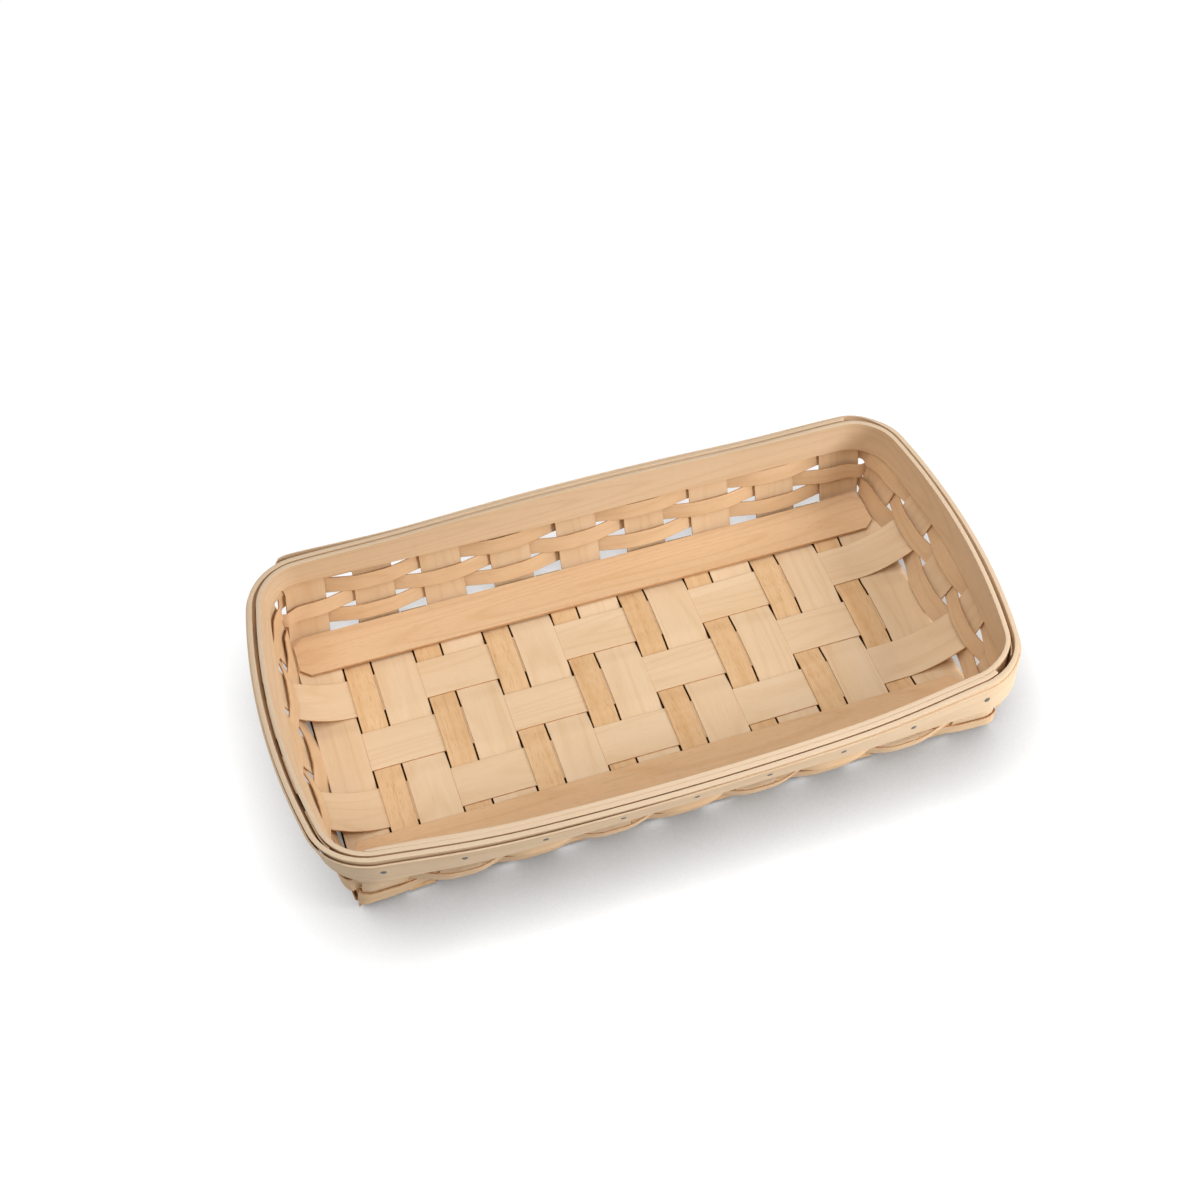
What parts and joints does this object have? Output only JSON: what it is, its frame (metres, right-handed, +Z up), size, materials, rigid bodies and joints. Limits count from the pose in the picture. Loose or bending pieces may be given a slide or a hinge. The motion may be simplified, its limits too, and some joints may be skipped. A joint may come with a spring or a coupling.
{
  "type": "spice basket",
  "caption": "Shallow rectangular tray basket woven from flat wooden splints, with leaning walls, rounded corners and a lapped band rim.",
  "frame": {"origin": "on the surface that the basket stands on, under the middle of the base", "axes": "+X along the length, +Y across the width away from the side with the tacks in view, +Z up"},
  "size_m": [0.3256, 0.181, 0.0454],
  "materials": {
    "pale_splint": "matte",
    "filler_splint": "matte",
    "side_board": "matte",
    "weaver": "matte",
    "rim_band": "matte"
  },
  "bodies": {
    "root": {"wide_splint_1": "pale_splint", "wide_splint_2": "pale_splint", "wide_splint_3": "pale_splint", "wide_splint_4": "pale_splint", "wide_splint_5": "pale_splint", "wide_splint_6": "pale_splint", "wide_splint_7": "pale_splint", "wide_splint_8": "pale_splint", "wide_splint_9": "pale_splint", "lengthwise_splint_1": "pale_splint", "lengthwise_splint_2": "pale_splint", "lengthwise_splint_3": "pale_splint", "lengthwise_splint_4": "pale_splint", "lengthwise_splint_5": "pale_splint", "filler_splint_1": "filler_splint", "filler_splint_2": "filler_splint", "filler_splint_3": "filler_splint", "filler_splint_4": "filler_splint", "filler_splint_5": "filler_splint", "filler_splint_6": "filler_splint", "filler_splint_7": "filler_splint", "filler_splint_8": "filler_splint", "far_side_board": "side_board", "near_side_board": "side_board", "weaver_1": "weaver", "weaver_2": "weaver", "weaver_3": "weaver", "inner_rim_band": "rim_band", "outer_rim_band": "rim_band", "facing_band": "rim_band"}
  },
  "joints": []
}
